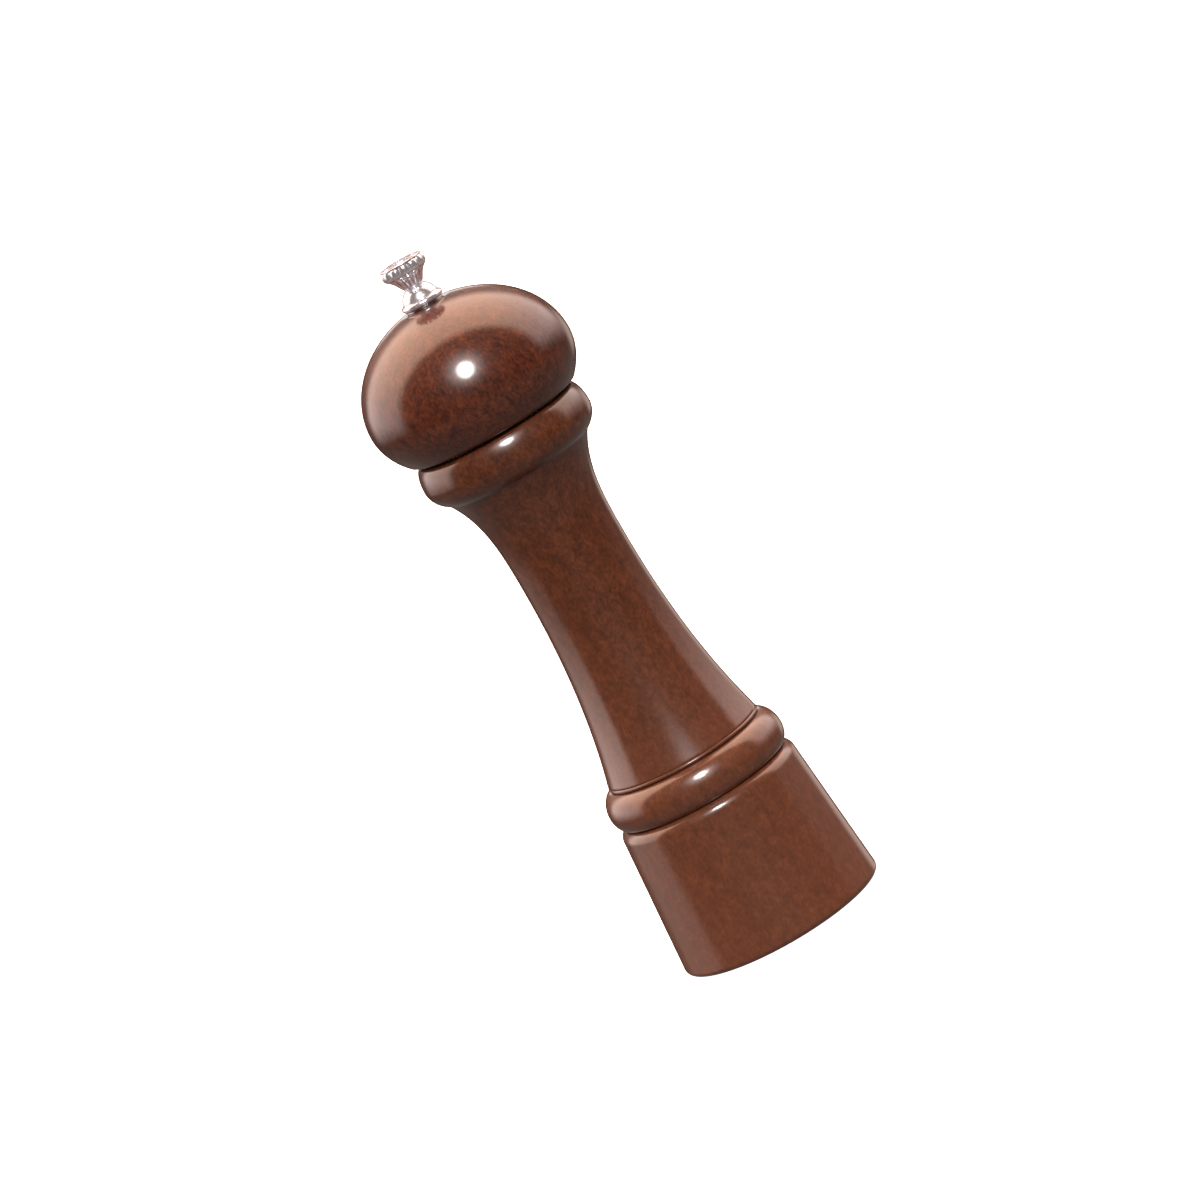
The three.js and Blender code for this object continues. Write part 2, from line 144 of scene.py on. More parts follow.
def stretch(corners, paint=0, form=None):
    """Part of an outline: its corners, the number of its material, and what makes it not round.

    form(angle, radius, height) gives the radius at an angle about the axis.
    """
    return [(Vector(c[:2]), c[2] if len(c) > 2 else 0, paint, form) for c in corners]


def smoothed(corners):
    """The outline's points (place, paint, form), with fillets drawn and repeats left out."""
    different = [c for i, c in enumerate(corners) if (c[0] - corners[i - 1][0]).length > 1e-4]
    points = []
    for i, (place, fillet, paint, form) in enumerate(different):
        drawn = [place]
        if fillet:
            before = different[i - 1][0]
            after = different[(i + 1) % len(different)][0]
            drawn = fillet_arc(before, place, after, fillet)
        points += [(p, paint, form) for p in drawn]
    return points


# ---- Meshes -------------------------------------------------------------------------------------

SHARP = math.radians(38)  # edges that bend more than this aren't shaded smooth


def new_piece(name, vertices, faces, paints=None):
    mesh = bpy.data.meshes.new(name)
    mesh.from_pydata([Vector(v) * MM for v in vertices], [], faces)
    mesh.polygons.foreach_set("use_smooth", [True] * len(faces))
    if paints:
        mesh.polygons.foreach_set("material_index", paints)
    mesh.set_sharp_from_angle(angle=SHARP)
    piece = bpy.data.objects.new(name, mesh)
    bpy.context.scene.collection.objects.link(piece)
    return piece


def turned(name, corners, segments, twist=0.0, at=(0.0, 0.0)):
    """Piece turned about a line parallel to Z. twist turns its columns by radians for each mm."""
    points = smoothed(corners)
    solid = points[0][0].x < 1e-6
    vertices, rows, faces, paints = [], [], [], []
    for place, _, form in points:
        r, z = place
        if r < 1e-6:
            rows.append([len(vertices)] * segments)
            vertices.append((at[0], at[1], z))
            continue
        rows.append(range(len(vertices), len(vertices) + segments))
        for column in range(segments):
            angle = 2 * math.pi * column / segments
            radius = form(angle, r, z) if form else r
            turn = angle + twist * z
            vertices.append((at[0] + radius * math.cos(turn), at[1] + radius * math.sin(turn), z))
    for i in range(len(points) - 1 if solid else len(points)):
        below, above = rows[i], rows[(i + 1) % len(rows)]
        for j in range(segments):
            k = (j + 1) % segments
            faces.append(list(dict.fromkeys([below[j], below[k], above[k], above[j]])))
            paints.append(points[i][1])
    return new_piece(name, vertices, faces, paints)


def swept(name, path, sides, section):
    """Piece with one section carried along a path. sides are the section's first axis at each point."""
    vertices, faces = [], []
    count = len(section)
    for i, (point, side) in enumerate(zip(path, sides)):
        ahead = path[min(i + 1, len(path) - 1)] - path[max(i - 1, 0)]
        up = ahead.normalized().cross(side)
        vertices += [point + side * u + up * v for u, v in section]
    for i in range(len(path) - 1):
        for j in range(count):
            k = (j + 1) % count
            a, b = i * count, (i + 1) * count
            faces.append([a + j, a + k, b + k, b + j])
    last = (len(path) - 1) * count
    faces.append(list(range(count))[::-1])
    faces.append([last + j for j in range(count)])
    return new_piece(name, vertices, faces)


def combined(piece, operation, *tools):
    """The piece joined with the tools, or cut by them. The tools are used up."""
    for tool in tools:
        modifier = piece.modifiers.new("combine", "BOOLEAN")
        modifier.object = tool
        modifier.operation = operation
        modifier.solver = "EXACT"
    evaluated = piece.evaluated_get(bpy.context.evaluated_depsgraph_get())
    mesh = bpy.data.meshes.new_from_object(evaluated)
    piece.modifiers.clear()
    piece.data = mesh
    mesh.set_sharp_from_angle(angle=SHARP)
    for tool in tools:
        bpy.data.objects.remove(tool)
    return piece


def drill(x, y, radius, bottom, top, chamfer=0.15, segments=48):
    """A tool for a round hole from bottom to top, with a small chamfer at both of its ends."""
    past = 0.5
    corners = [
        (0, bottom - past), (radius + chamfer, bottom - past), (radius + chamfer, bottom),
        (radius, bottom + chamfer), (radius, top - chamfer),
        (radius + chamfer, top), (radius + chamfer, top + past), (0, top + past),
    ]
    return turned("drill", stretch(corners), segments, at=(x, y))


# ---- Forms that aren't round --------------------------------------------------------------------

def square_form(side):
    """Square section with slightly rounded corners, where the outline's radius is wide enough."""
    sharpness = 18

    def form(angle, r, z):
        c, s = abs(math.cos(angle)), abs(math.sin(angle))
        return min(r, side / 2 / (c ** sharpness + s ** sharpness) ** (1 / sharpness))

    return form


def square_hole_form(side):
    """Square hole in a round piece: the outline's radius is added to the square's."""
    square = square_form(side)
    return lambda angle, r, z: square(angle, side, z) + r - side / 2


def hexagon_form(across_corners):
    """Hexagon with two flats facing X, where the outline's radius is wide enough."""
    sixth = math.pi / 3

    def form(angle, r, z):
        from_flat = (angle + sixth / 2) % sixth - sixth / 2
        return min(r, across_corners / 2 * math.cos(sixth / 2) / math.cos(from_flat))

    return form


def thread_form(pitch, depth):
    """Screw thread cut into the outline's radius."""

    def form(angle, r, z):
        phase = (z / pitch - angle / (2 * math.pi)) % 1
        return r - depth * min(1.0, 2.6 * abs(phase - 0.5))

    return form


def tooth_form(count, depth):
    """Saw teeth: steep in front and sloping behind. A negative depth cuts outwards."""
    steep = 0.2

    def form(angle, r, z):
        phase = angle * count / (2 * math.pi) % 1
        cut = phase / steep if phase < steep else (1 - phase) / (1 - steep)
        return r - depth * cut

    return form


def cross_form(arm_width):
    """Plus sign whose arms are as long as the outline's radius."""

    def form(angle, r, z):
        half = arm_width / 2
        along_x = min(r, half / max(abs(math.sin(angle)), 1e-6))
        along_y = min(r, half / max(abs(math.cos(angle)), 1e-6))
        return max(along_x, along_y)

    return form


# ---- Materials ----------------------------------------------------------------------------------

def srgb(red, green, blue):
    """A colour given as the screen's 0 to 255, as the shader's linear numbers."""
    parts = [c / 255 for c in (red, green, blue)]
    linear = [c / 12.92 if c <= 0.04045 else ((c + 0.055) / 1.055) ** 2.4 for c in parts]
    return (*linear, 1.0)


class Nodes:
    """Adds nodes to a material or a world."""

    def __init__(self, owner):
        owner.use_nodes = True
        self.tree = owner.node_tree

    def add(self, kind, inputs, **settings):
        node = self.tree.nodes.new(kind)
        for name, value in settings.items():
            setattr(node, name, value)
        for socket, value in inputs.items():
            self.feed(node, socket, value)
        return node

    def feed(self, node, socket, value):
        if isinstance(value, bpy.types.NodeSocket):
            self.tree.links.new(value, node.inputs[socket])
        else:
            node.inputs[socket].default_value = value

    def mix(self, factor, first, second, blend="MIX"):
        inputs = {0: factor, 6: first, 7: second}
        node = self.add("ShaderNodeMix", inputs, data_type="RGBA", blend_type=blend)
        return node.outputs[2]

    def span(self, factor, low, high, start=0.3, end=0.7, kind="LINEAR"):
        """A factor spread from start..end to low..high."""
        inputs = {0: factor, 1: start, 2: end, 3: low, 4: high}
        return self.add("ShaderNodeMapRange", inputs, interpolation_type=kind).outputs["Result"]


class Shader(Nodes):
    """A material made of pattern nodes that feed one Principled shader."""

    def __init__(self, name, **values):
        self.material = bpy.data.materials.new(name)
        super().__init__(self.material)
        self.surface = self.tree.nodes["Principled BSDF"]
        for socket, value in values.items():
            self.surface.inputs[socket.replace("_", " ")].default_value = value
        self.place = self.add("ShaderNodeTexCoord", {}).outputs["Object"]

    def noise(self, size, detail=3.0, roughness=0.55, along=1.0, distortion=0.0):
        """Cloudy pattern with features of a size in mm, made longer along Z by a factor."""
        scaled = self.add("ShaderNodeMapping", {"Vector": self.place, "Scale": (1, 1, 1 / along)})
        inputs = {
            "Vector": scaled.outputs["Vector"], "Scale": 1 / (size * MM), "Detail": detail,
            "Roughness": roughness, "Distortion": distortion,
        }
        return self.add("ShaderNodeTexNoise", inputs).outputs["Fac"]

    def ramp(self, factor, *stops):
        """Colour by a factor, between stops (position, colour)."""
        node = self.add("ShaderNodeValToRGB", {"Fac": factor})
        elements = node.color_ramp.elements
        while len(elements) < len(stops):
            elements.new(0.5)
        for element, (position, colour) in zip(elements, stops):
            element.position = position
            element.color = colour
        return node.outputs["Color"]

    def colour(self, value):
        self.feed(self.surface, "Base Color", value)

    def rough(self, value):
        self.feed(self.surface, "Roughness", value)

    def bump(self, height, depth, strength):
        """Relief of a depth in mm."""
        inputs = {"Height": height, "Distance": depth * MM, "Strength": strength}
        self.feed(self.surface, "Normal", self.add("ShaderNodeBump", inputs).outputs["Normal"])


BLACK = (0, 0, 0, 1)
GREY = (0.5, 0.5, 0.5, 1)
WHITE = (1, 1, 1, 1)
OLIVE = srgb(120, 124, 60)
# Colour of a painted glow: the lit table's light, painted into the wood near the foot.
PAINTED_GLOW_COLOUR = srgb(214, 140, 108)
PAINTED_GLOW_UP_TO = 130.0  # height where the painted glow of the table's light has faded out and the stain has its full darkness


def lacquered_wood(name, dark, middle, light, painted_glow_at_foot=0.0):
    """Close-grained wood, stained, with a faint mottled figure under a thick clear lacquer.

    Painted light: near the foot the colour is mixed towards a pale pink, standing in for the glow of the
    lit table below. The last argument is this painted glow's share at the table.
    """
    shader = Shader(
        name, Coat_Weight=1.0, Coat_Roughness=0.13, Coat_IOR=1.5, Specular_IOR_Level=0.15,
    )
    fleck = shader.noise(0.7, detail=3, roughness=0.6, along=1.6, distortion=0.2)
    mottle = shader.noise(2.4, detail=4, roughness=0.55, along=1.5, distortion=0.6)
    figure = shader.mix(0.4, shader.span(fleck, 0, 1, 0.25, 0.75), shader.span(mottle, 0, 1))
    stained = shader.ramp(figure, (0.2, dark), (0.5, middle), (0.8, light))
    hue = shader.noise(2.0, detail=2, along=1.5)
    varied = shader.mix(shader.span(hue, 0, 0.35, 0.45, 0.7), stained, OLIVE, "SOFT_LIGHT")
    fibre = shader.noise(0.4, detail=2, along=22)
    fibred = shader.mix(0.16, varied, shader.ramp(fibre, (0.35, GREY), (0.6, WHITE)), "MULTIPLY")
    # Painted light: the colour is mixed towards a pale pink near the table, standing in for the table's
    # glow.
    height = shader.add("ShaderNodeSeparateXYZ", {"Vector": shader.place}).outputs["Z"]
    painted_glow = shader.span(height, painted_glow_at_foot, 0, 0.0, PAINTED_GLOW_UP_TO * MM)
    shader.colour(shader.mix(painted_glow, fibred, PAINTED_GLOW_COLOUR))
    shader.rough(shader.span(fleck, 0.42, 0.6))
    shader.bump(fibre, 0.012, 0.5)
    return shader.material


def bare_wood():
    """The same wood where a drill or chisel has cut it and no stain or lacquer has reached."""
    shader = Shader("bare wood", Specular_IOR_Level=0.25)
    fleck = shader.noise(0.8, detail=4, roughness=0.65, along=3)
    dark, middle, light = srgb(148, 108, 72), srgb(186, 146, 104), srgb(206, 170, 126)
    pale = shader.ramp(fleck, (0.3, dark), (0.5, middle), (0.7, light))
    fibre = shader.noise(0.35, detail=3, along=30)
    shader.colour(shader.mix(0.5, pale, shader.ramp(fibre, (0.35, GREY), (0.6, WHITE)), "MULTIPLY"))
    shader.rough(shader.span(fibre, 0.62, 0.85))
    shader.bump(fibre, 0.06, 0.8)
    return shader.material


def plated_metal(name, colour, shade, roughness, grain=0.5, relief=0.004, metallic=1.0):
    """Metal with a faint cloudy colour, uneven polish and a fine grain."""
    shader = Shader(name, Metallic=metallic)
    cloud = shader.noise(3.0, detail=4)
    shader.colour(shader.ramp(cloud, (0.35, shade), (0.62, colour)))
    fine = shader.noise(grain, detail=5, roughness=0.7)
    shader.rough(shader.span(fine, roughness * 0.7, roughness * 1.35))
    shader.bump(fine, relief, 0.6)
    return shader.material


def cut_metal(name, colour, shade, roughness):
    """Metal with the fine rings that a lathe tool leaves, a little stained between them."""
    shader = Shader(name, Metallic=1.0)
    cloud = shader.noise(2.2, detail=5, roughness=0.65)
    shader.colour(shader.ramp(cloud, (0.3, shade), (0.65, colour)))
    fine = shader.noise(0.6, detail=4, roughness=0.7, along=0.12)
    shader.rough(shader.span(fine, roughness * 0.7, roughness * 1.3))
    shader.bump(fine, 0.01, 0.6)
    return shader.material


def nylon():
    """Milky moulded plastic, slightly let through by light, with a fine matt skin."""
    shader = Shader("nylon", Subsurface_Weight=0.25, Subsurface_Scale=0.8 * MM, Specular_IOR_Level=0.4)
    cloud = shader.noise(2.5, detail=3)
    shader.colour(shader.ramp(cloud, (0.35, srgb(214, 206, 188)), (0.65, srgb(234, 229, 216))))
    skin = shader.noise(0.25, detail=4, roughness=0.6)
    shader.rough(shader.span(skin, 0.4, 0.6))
    shader.bump(skin, 0.01, 0.5)
    return shader.material


# The body's foot gets a painted glow of the table's light, a share of 0.1 at the table.
BODY_WOOD = lacquered_wood("stained wood", srgb(62, 30, 16), srgb(80, 40, 22), srgb(97, 51, 28), 0.1)
HEAD_WOOD = lacquered_wood("stained head wood", srgb(47, 18, 12), srgb(74, 33, 18), srgb(98, 46, 23))
BARE_WOOD = bare_wood()
CHROME = plated_metal(
    "chrome", srgb(232, 230, 235), srgb(216, 211, 217), 0.19, grain=0.9, relief=0.008, metallic=0.8,
)
STEEL = cut_metal("cut steel", srgb(166, 167, 170), srgb(118, 119, 124), 0.34)
BRIGHT_STEEL = plated_metal("bright steel", srgb(196, 196, 198), srgb(166, 167, 172), 0.25)
ZINC = plated_metal(
    "zinc plate", srgb(202, 200, 190), srgb(160, 160, 156), 0.36, grain=0.8, relief=0.006,
)
BRASS = cut_metal("brass", srgb(206, 170, 98), srgb(160, 124, 62), 0.3)
NYLON = nylon()


def finish(piece, node, slot, *materials):
    """Gives a piece its materials and lets it stand for a CAD node, on that node's body."""
    for index, material in enumerate(materials):
        if index < len(piece.data.materials):
            piece.data.materials[index] = material
        else:
            piece.data.materials.append(material)
    normals = piece.modifiers.new("face weighted normals", "WEIGHTED_NORMAL")
    normals.keep_sharp = True
    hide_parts(node)
    if node != "spring":
        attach(piece, body_of_node[node])


# ---- Wooden barrel and head ---------------------------------------------------------------------

WOOD_SEGMENTS = 224
STAINED, BARE = 0, 1

BASE_CORNER = 1.6
SHOULDER = {"radius": 26.0, "z": 39.3}
GROOVE = {"radius": 23.2, "z": 42.3}
LOWER_BEAD = {"radius": 26.1, "z": 47.0, "top": 53.2}
WAIST = {"foot": 21.6, "radius": 15.45, "z": 112.0}
WAIST_PULL = {  # how far its curves' handles reach
    "foot_in": 1.6, "foot_up": 6.0, "below": 32, "above": 10.3, "under_collar": 8.5,
}
RIDGE = 0.55  # radius of the small ridge between the lower bead and the waist
UPPER_BEAD = {"radius": 24.85, "z": 147.0, "core": 14.6, "height": 7.8, "undercut": 52.0}
BARREL_TOP_RADIUS = 22.4
RECESS_RADIUS = 20.5
STATOR_POCKET_TOP = 29.5
SOCKET_FLOOR = 141.0
RIVET_X = 12.2  # of the two rivets that hold the bridge on the stator

barrel = Extent("barrel")
head = Extent("head")
stator = Extent("stator")
retainer = Extent("retainer_plate")
retainer_screws = {f"retainer_screw_{i}": Extent(f"retainer_screw_{i}") for i in (1, 2, 3)}
drive_screws = {f"drive_plate_screw_{i}": Extent(f"drive_plate_screw_{i}") for i in (1, 2)}
PILOT_ROOM = 0.4  # between a screw's tip and the end of its hole
TENON_RADIUS = 12.0
TENON_FIT = 0.3  # round the tenon in its socket, and round the stator in its pocket


def barrel_outside():
    """From the foot's corner up the base, groove, bead, ridge, waist and upper bead to the top."""
    bead = UPPER_BEAD
    foot = (WAIST["foot"], LOWER_BEAD["top"])
    ridge = arc(foot[0] + 0.35, foot[1] + 0.65, RIDGE, RIDGE, -50, 62, 8)
    waist_foot = (ridge[-1][0] + 0.1, ridge[-1][1] + 0.25)
    flare = (waist_foot[0] - WAIST_PULL["foot_in"], waist_foot[1] + WAIST_PULL["foot_up"])
    narrowest = (WAIST["radius"], WAIST["z"])
    bead_width = bead["radius"] - bead["core"]
    collar = arc(bead["core"], bead["z"], bead_width, bead["height"], -bead["undercut"], 0, 18)

    def straight_up(z):
        return (narrowest[0], z)

    shoulder_depth = SHOULDER["radius"] - GROOVE["radius"]
    bead_depth = LOWER_BEAD["radius"] - GROOVE["radius"]
    bead_top, bead_reach = LOWER_BEAD["top"] - LOWER_BEAD["z"], LOWER_BEAD["radius"] - foot[0]
    top_depth = bead["radius"] - BARREL_TOP_RADIUS
    return [
        *arc(barrel.outer - BASE_CORNER, BASE_CORNER, BASE_CORNER, BASE_CORNER, -90, 0, 8),
        *arc(GROOVE["radius"], SHOULDER["z"], shoulder_depth, GROOVE["z"] - SHOULDER["z"], 0, 90, 12),
        *arc(GROOVE["radius"], LOWER_BEAD["z"], bead_depth, LOWER_BEAD["z"] - GROOVE["z"], -90, 0, 12),
        *arc(foot[0], LOWER_BEAD["z"], bead_reach, bead_top, 0, 90, 14),
        *ridge,
        *bezier(waist_foot, flare, straight_up(WAIST["z"] - WAIST_PULL["below"]), narrowest, 40),
        *bezier(
            narrowest, straight_up(WAIST["z"] + WAIST_PULL["above"]),
            straight_up(collar[0][1] - WAIST_PULL["under_collar"]), collar[0], 24,
        ),
        *collar,
        *arc(BARREL_TOP_RADIUS, bead["z"], top_depth, barrel.top - bead["z"], 0, 90, 12),
    ]


def make_barrel():
    socket = TENON_RADIUS + TENON_FIT
    pocket = stator.outer + TENON_FIT
    recess_depth = retainer.top + RUNNING_GAP
    inside = [
        (socket, barrel.top, 0.5), (socket, SOCKET_FLOOR, 0.2), (barrel.inner, SOCKET_FLOOR, 0.4),
        (barrel.inner, STATOR_POCKET_TOP, 0.3), (pocket, STATOR_POCKET_TOP, 0.2),
        (pocket, recess_depth, 0.4), (RECESS_RADIUS, recess_depth, 0.3), (RECESS_RADIUS, 0, 0.7),
    ]
    corners = stretch(barrel_outside(), STAINED) + stretch(inside, BARE)
    piece = turned("barrel_of_turned_wood", corners, WOOD_SEGMENTS)
    pilots = [
        drill(s.x, s.y, 1.5, recess_depth - 0.5, s.top + PILOT_ROOM) for s in retainer_screws.values()
    ]
    finish(combined(piece, "DIFFERENCE", *pilots), "barrel", "wood", BODY_WOOD, BARE_WOOD)


def make_head():
    """A ball of two half ellipses that meet at the widest place, with a tenon under it."""
    widest, crown, underside = 166.3, 24.25, 20.85
    ball_bottom = barrel.top + 0.8
    lowest = -math.degrees(math.asin((widest - ball_bottom) / underside))
    highest = math.degrees(math.asin((head.top - widest) / crown))
    lower_half = arc(0, widest, head.outer, underside, lowest, 0, 24)
    edge = (*lower_half[0], 2.4)
    upper_half = arc(0, widest, head.outer, crown, 0, highest, 44)
    tenon = [(TENON_RADIUS, head.bottom, 0.6), (TENON_RADIUS, ball_bottom, 0.3)]
    shaft_hole = [(head.inner, head.top, 0.3), (head.inner, head.bottom, 0.4)]
    corners = (
        stretch(tenon, BARE)
        + stretch([edge, *lower_half[1:], *upper_half], STAINED)
        + stretch(shaft_hole, BARE)
    )
    piece = turned("head_of_turned_wood", corners, WOOD_SEGMENTS)
    pilots = [drill(s.x, s.y, 1.2, head.bottom - 0.5, s.top + PILOT_ROOM) for s in drive_screws.values()]
    finish(combined(piece, "DIFFERENCE", *pilots), "head", "wood", HEAD_WOOD, BARE_WOOD)


# ---- Knob, washers and bushes -------------------------------------------------------------------

def make_knob():
    """Bell-shaped foot with a bead, thin neck, and a fluted cone that opens into a lobed rim."""
    knob = Extent("knob")
    lobes, lobe_share = 12, 0.27
    foot, groove, neck, bead = 5.95, 4.9, 2.75, 0.9
    neck_low, neck_high, cone_top, rim_bottom = 5.2, 5.4, 9.2, 9.4
    bore, bore_depth = 2.2, 10.2
    rim_top, dish, bevel = knob.top - knob.bottom, 0.75, 0.45

    def at(r, height, *fillet):
        return (r, knob.bottom + height, *fillet)

    def lobed(angle, r, z):
        """Each lobe is an arc about a point between the axis and its own middle."""
        step = 2 * math.pi / lobes
        off = (angle + step / 2) % step - step / 2
        middle = r * (1 - lobe_share)
        lobe = middle * math.cos(off) + math.sqrt((r * lobe_share) ** 2 - (middle * math.sin(off)) ** 2)
        share = min(1.0, max(0.0, (z - knob.bottom - neck_high) / (cone_top - neck_high)))
        return r + (lobe - r) * math.sqrt(share)

    plain = [
        at(0, bore_depth + 0.8), at(bore, bore_depth, 0.2), at(bore, 0, 0.3),
        *arc(foot - bead, knob.bottom + bead, bead, bead, -90, 62, 12),
        at(groove, 2.0, 0.1),
        *bezier(at(groove + 0.15, 2.3), at(4.6, 3.4), at(3.9, 4.6), at(neck, neck_low), 14),
    ]
    rim_middle, rim_half = (rim_bottom + rim_top - bevel) / 2, (rim_top - bevel - rim_bottom) / 2
    rim = arc(knob.outer - 0.5, knob.bottom + rim_middle, 0.5, rim_half, -80, 80, 12)
    cone = [
        *bezier(at(neck, neck_high), at(3.6, 6.2), at(3.9, 8.0), at(knob.outer - 0.6, cone_top), 18),
        *rim,
    ]
    ring_outside, ring_inside = knob.outer - 0.4, knob.outer - 0.7
    top = [
        at(ring_outside, rim_top - bevel), at(ring_outside, rim_top, 0.1),
        at(ring_inside, rim_top, 0.06), at(ring_inside, rim_top - dish, 0.1),
        at(0, rim_top - dish * 0.8),
    ]
    piece = turned("knob_of_chrome", stretch(plain) + stretch(cone, form=lobed) + stretch(top), 240)
    finish(piece, "knob", "chrome", CHROME)


def make_washer(node, name, slot, material, fillet=0.12, segments=96):
    washer = Extent(node)
    corners = [
        (washer.outer, washer.bottom, fillet), (washer.outer, washer.top, fillet),
        (washer.inner, washer.top, fillet), (washer.inner, washer.bottom, fillet),
    ]
    finish(turned(name, stretch(corners), segments), node, slot, material)


def make_bush():
    """Brass bush with a flange under the bridge, where the spring ends."""
    bush = Extent("bridge_bush")
    barrel_radius, flange_top = 3.9, bush.bottom + 0.8
    corners = [
        (bush.inner, bush.bottom, 0.15), (bush.outer, bush.bottom, 0.15), (bush.outer, flange_top, 0.1),
        (barrel_radius, flange_top, 0.05), (barrel_radius, bush.top, 0.15), (bush.inner, bush.top, 0.15),
    ]
    finish(turned("bush_of_brass", stretch(corners), 96), "bridge_bush", "brass", BRASS)


# ---- Screws, rivets and plates ------------------------------------------------------------------

def make_screw(node, extent, head_height, shank, pitch):
    """Pan-head wood screw that stands on its head, with a cross recess and a tapered tip."""
    seat = extent.bottom + head_height
    recess, arm_width = extent.outer * 0.62, extent.outer * 0.26
    recess_top = extent.bottom + head_height * 0.6
    thread = thread_form(pitch, shank * 0.28)
    cross = cross_form(arm_width)
    steps = int((extent.top - seat) / pitch * 10)
    tip, point, thread_start = 1.8, 0.25, seat + 0.3
    recessed = [(0, extent.bottom + head_height * 0.62)]
    cross_rows = [(recess * 0.5, recess_top), (recess, extent.bottom + 0.02)]
    dome = [
        (recess * 1.12, extent.bottom),
        *arc(extent.outer * 0.45, seat, extent.outer * 0.55, head_height, -86, -8, 10),
        (extent.outer, seat - 0.02, 0.01),
    ]
    shank_rows = []
    for i in range(steps + 1):
        z = thread_start + (extent.top - thread_start) * i / steps
        taper = point + (1 - point) * (extent.top - z) / tip
        shank_rows.append((shank * min(1.0, taper), z))
    corners = (
        stretch(recessed) + stretch(cross_rows, form=cross) + stretch(dome)
        + stretch([(shank * 1.02, seat), (shank * 1.02, seat + 0.2)])
        + stretch(shank_rows, form=thread) + stretch([(0, extent.top)])
    )
    name = node.replace("screw", "fixing_screw")
    piece = turned(name, corners, 64, at=(extent.x, extent.y))
    finish(piece, node, "steel", BRIGHT_STEEL)


def make_rivet(node, name):
    rivet = Extent(node)
    shank, head_height = 0.9, 0.8
    seat = rivet.top - head_height
    corners = [
        (0, rivet.bottom), (shank, rivet.bottom, 0.15), (shank, seat, 0.05),
        (rivet.outer, seat, 0.1),
        *arc(0, seat + 0.1, rivet.outer, head_height - 0.1, 4, 90, 12),
    ]
    corners[-1] = (0, rivet.top)
    finish(turned(name, stretch(corners), 48, at=(rivet.x, rivet.y)), node, "steel", BRIGHT_STEEL)


def make_retainer_plate():
    """Pressed steel ring that holds the stator up in its pocket, with three screw holes."""
    corners = [
        (retainer.outer, retainer.bottom, 0.3), (retainer.outer, retainer.top, 0.12),
        (retainer.inner, retainer.top, 0.12), (retainer.inner, retainer.bottom, 0.3),
    ]
    piece = turned("retainer_ring_of_pressed_steel", stretch(corners), 144)
    holes = [drill(s.x, s.y, 1.6, retainer.bottom, retainer.top) for s in retainer_screws.values()]
    finish(combined(piece, "DIFFERENCE", *holes), "retainer_plate", "zinc_plate", ZINC)


def make_drive_plate():
    """Pressed disc under the tenon, whose square hole turns the shaft."""
    plate = Extent("drive_plate")
    side = 5.1
    hole = square_hole_form(side)
    rim = [(plate.outer, plate.bottom, 0.3), (plate.outer, plate.top, 0.12)]
    bore = [(side / 2 + 0.12, plate.top), (side / 2, plate.top - 0.12),
            (side / 2, plate.bottom + 0.15), (side / 2 + 0.15, plate.bottom)]
    piece = turned("drive_disc_of_pressed_steel", stretch(rim) + stretch(bore, form=hole), 160)
    holes = [drill(s.x, s.y, 1.3, plate.bottom, plate.top) for s in drive_screws.values()]
    finish(combined(piece, "DIFFERENCE", *holes), "drive_plate", "zinc_plate", ZINC)


def make_bridge():
    """Steel strap bent into a hat over the stator, with an eye for the bush and two riveted feet."""
    low, high = (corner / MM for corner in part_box("bridge"))
    thickness, width, leg, bend = 1.0, 6.0, 10.4, 1.0
    eye_radius, bush_hole, rivet_hole = high.y, 4.0, 1.0
    foot_z = low.z + thickness / 2
    bar_z = high.z - thickness / 2
    leg_x = leg - thickness / 2
    turns = [(-leg_x, foot_z), (-leg_x, bar_z), (leg_x, bar_z), (leg_x, foot_z)]
    ends = [Vector((low.x, foot_z)), *map(Vector, turns), Vector((high.x, foot_z))]
    line = [ends[0]]
    for i in range(1, 5):
        line += fillet_arc(ends[i - 1], ends[i], ends[i + 1], bend, steps=8)
    line.append(ends[-1])
    path = [Vector((p.x, 0, p.y)) for p in line]
    half, edge = width / 2, 0.18
    section = [
        (half - edge, -thickness / 2), (half, -thickness / 2 + edge), (half, thickness / 2 - edge),
        (half - edge, thickness / 2), (edge - half, thickness / 2), (-half, thickness / 2 - edge),
        (-half, -thickness / 2 + edge), (edge - half, -thickness / 2),
    ]
    strap = swept("bridge_of_bent_strap", path, [Vector((0, 1, 0))] * len(path), section)
    eye_corners = [
        (0, bar_z - thickness / 2), (eye_radius, bar_z - thickness / 2, edge),
        (eye_radius, bar_z + thickness / 2, edge), (0, bar_z + thickness / 2),
    ]
    combined(strap, "UNION", turned("eye", stretch(eye_corners), 96))
    holes = [drill(side * RIVET_X, 0, rivet_hole, low.z, low.z + thickness) for side in (-1, 1)]
    holes.append(drill(0, 0, bush_hole, high.z - thickness, high.z))
    finish(combined(strap, "DIFFERENCE", *holes), "bridge", "zinc_plate", ZINC)


# ---- Shaft, rotor, nut, stator and spring -------------------------------------------------------

TOOTH_TWIST = -0.09  # teeth that a groove crosses for each mm of height


